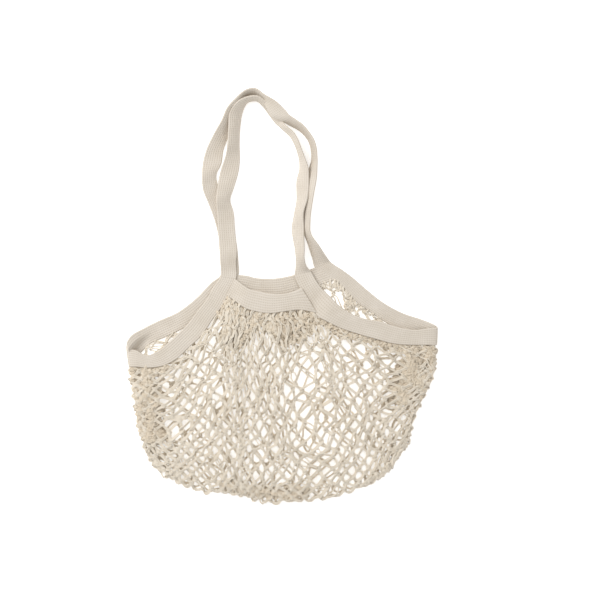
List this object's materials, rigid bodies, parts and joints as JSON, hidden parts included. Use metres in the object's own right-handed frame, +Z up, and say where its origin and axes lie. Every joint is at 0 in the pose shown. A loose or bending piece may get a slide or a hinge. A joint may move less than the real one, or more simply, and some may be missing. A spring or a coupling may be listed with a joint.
{
  "type": "net shopping bag",
  "caption": "Long-handled net shopping bag of undyed cotton cord, its mouth bound with knitted tape that runs on into the handles, lying flat on its back.",
  "frame": {"origin": "on the surface that the bag lies on, under the middle of its bounding box", "axes": "+X across the bag to its right as seen from above, +Y from its bottom towards its handles, +Z up from the surface"},
  "size_m": [0.414, 0.5567, 0.0247],
  "materials": {
    "net_cord": "matt undyed cotton cord",
    "knit_tape": "matt undyed cotton knit"
  },
  "bodies": {
    "root": {"net_body": "net_cord", "front_rim_band": "knit_tape", "back_rim_band": "knit_tape", "left_side_band": "knit_tape", "right_side_band": "knit_tape", "front_handle": "knit_tape", "back_handle": "knit_tape"}
  },
  "joints": []
}
